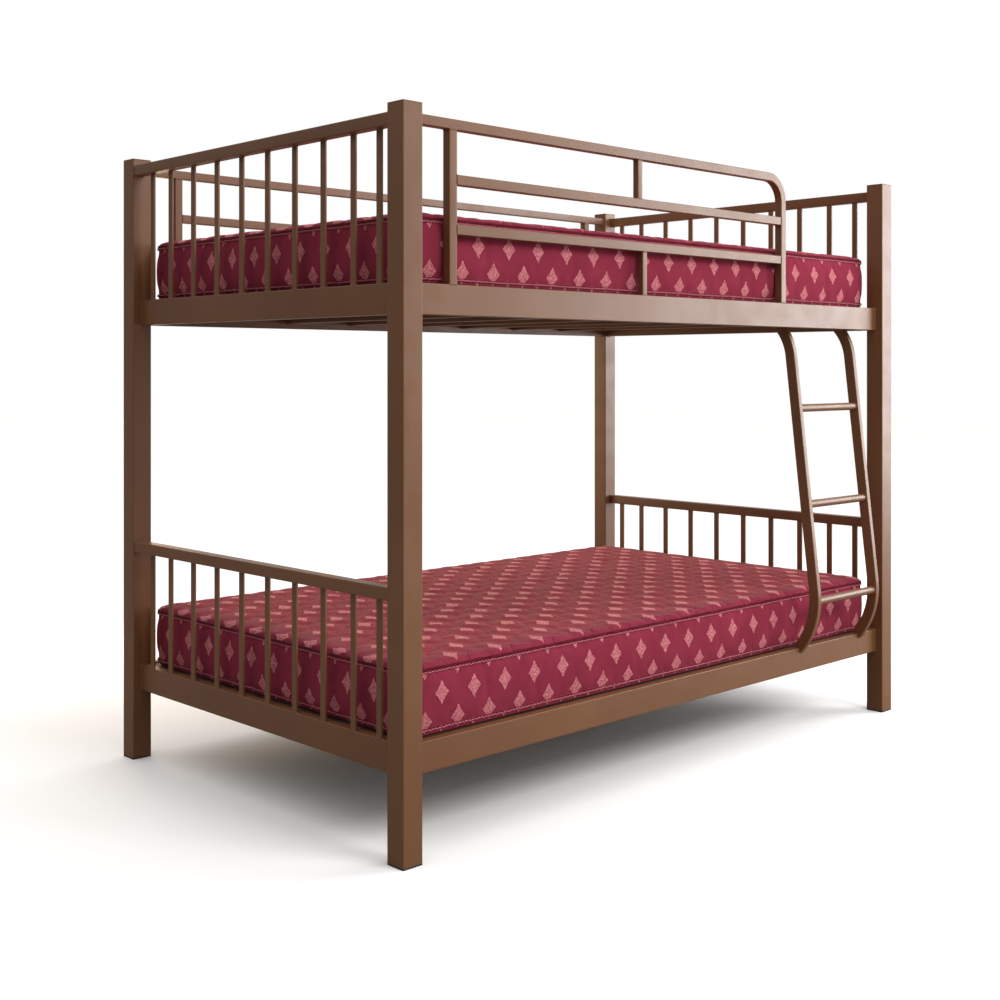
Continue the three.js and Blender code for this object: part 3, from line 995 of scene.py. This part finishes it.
def simulate(shape, pinned):
    """Blows the cover up as cloth between its seams and stitches, and caps how far it moves."""
    start = np.array(shape.vertices, float)
    # The bottom panel lies flat on its deck, so it stays out.
    keep = sorted({k for face in shape.faces if start[face[0]][2] > LYING for k in face})
    number = {k: n for n, k in enumerate(keep)}
    faces = [[number[k] for k in face] for face in shape.faces if all(k in number for k in face)]
    mesh = bpy.data.meshes.new("cloth_copy")
    mesh.from_pydata([tuple(start[k]) for k in keep], [], faces)
    cloth = bpy.data.objects.new("cloth_copy", mesh)
    scene.collection.objects.link(cloth)
    group = cloth.vertex_groups.new(name="stitched")
    fixed = set(pinned) | set(shape.low_seam) | set(shape.high_seam)
    fixed |= {k for k in keep if start[k][2] < LOW_SEAM}
    group.add([number[k] for k in fixed if k in number], 1.0, "REPLACE")
    add_cloth(cloth, group.name)
    for number_of_frame in range(1, CLOTH_FRAMES + 1):
        scene.frame_set(number_of_frame)
    evaluated = cloth.evaluated_get(bpy.context.evaluated_depsgraph_get())
    moved = np.array([v.co for v in evaluated.data.vertices], float)
    bpy.data.objects.remove(cloth)
    bpy.data.meshes.remove(mesh)
    scene.frame_set(1)
    step = moved - start[keep]
    length = np.linalg.norm(step, axis=1)
    capped = np.where(length > SWELL_CAP, SWELL_CAP / np.maximum(length, 1e-9), 1.0)
    start[keep] += step * capped[:, None]
    shape.vertices = [tuple(v) for v in start]


def cover_object(name, shape, origin, materials, slide):
    """The cover as an object. slide moves the border's pattern along the seam, in metres."""
    mesh = bpy.data.meshes.new(name)
    mesh.from_pydata([tuple(np.add(v, origin)) for v in shape.vertices], [], shape.faces)
    layer = mesh.uv_layers.new(name="cloth")
    uvs = np.array(shape.uvs, np.float32)
    uvs[np.array(shape.kinds) == BORDER_CLOTH, :, 0] += slide
    layer.data.foreach_set("uv", uvs.reshape(-1))
    mesh.polygons.foreach_set("material_index", shape.kinds)
    mesh.polygons.foreach_set("use_smooth", [True] * len(shape.faces))
    for material in materials:
        mesh.materials.append(material)
    mesh.update()
    obj = bpy.data.objects.new(name, mesh)
    scene.collection.objects.link(obj)
    fine = obj.modifiers.new("fine", "SUBSURF")
    fine.levels = 1
    fine.render_levels = 1
    return obj


def seam_path(shape, inset):
    points = np.array([shape.at(i, j, inset) for i, j in shape.edge])
    return resample(points, SWEEP_STEP)


def swept_seam(name, path, height, material, profile):
    """Sweeps a section round a seam. profile(share, run, whole) gives (outward, upward)."""
    run = lengths_round(path)
    rings = []
    for point, out, s in zip(path, outward_from(path), run):
        ring = []
        for k in range(SWEEP_SIDES):
            across, up = profile(k / SWEEP_SIDES, s, run[-1])
            ring.append((point[0] + out[0] * across, point[1] + out[1] * across, height + up))
        rings.append(ring)
    pile = Pile()
    pile.tube(rings, run)
    return pile.object(name, material)


def cord_profile(share, s, whole):
    """Two twisted strands that wander a little up and down."""
    turn = 2 * math.pi * share
    twists = round(whole / CORD_TWIST)
    strand = math.cos(2 * turn - 2 * math.pi * twists * s / whole)
    swell = CORD_RADIUS * (1 + CORD_STRAND * strand)
    sway = CORD_SWAY * sum(w * math.sin(2 * math.pi * n * s / whole + n) for n, w in CORD_WAVES)
    return swell * math.cos(turn), swell * math.sin(turn) + sway


def binding_profile(half_height):
    """A flat oval, the same all the way round."""
    def profile(share, *_):
        turn = 2 * math.pi * share
        return BINDING_DEPTH * math.cos(turn), half_height * math.sin(turn)
    return profile


def add_mattresses():
    low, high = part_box("lower_mattress")
    shape = MattressShape((high.x - low.x) / 2, (high.y - low.y) / 2)
    pinned = stitch_down(shape)
    simulate(shape, pinned)
    perimeter = shape.run[-1]
    border = border_jacquard(perimeter / BORDER_REPEATS)
    quilt = quilt_jacquard(shape.half_x, shape.half_y)
    cord_look = cord_material()
    binding_shade_look = binding_and_groove_shade_material()
    for level, slide in (("lower", LOWER_SLIDE), ("upper", 0.0)):
        node = f"{level}_mattress"
        low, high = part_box(node)
        middle = (low + high) / 2
        origin = (middle.x, middle.y, low.z)
        cover = cover_object(f"{level}_mattress_cover", shape, origin, (border, quilt), slide)
        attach(cover, node)
        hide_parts(node)
        for seam, height, lift, half_height in SEAMS:
            path = seam_path(shape, SEAM_INSET - CORD_PROUD) + np.array(origin[:2])
            z = low.z + height
            cord = swept_seam(f"{node}_{seam}_cord", path, z - CORD_DROP, cord_look, cord_profile)
            profile = binding_profile(half_height)
            binding = swept_seam(f"{node}_{seam}_binding", path, z + lift, binding_shade_look, profile)
            for piece in (cord, binding):
                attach(piece, node)


# ---------------------------------------------------------------- everything

make_studio()
looks = dress_nodes()
add_welds(looks["frame_paint"])
add_mattresses()
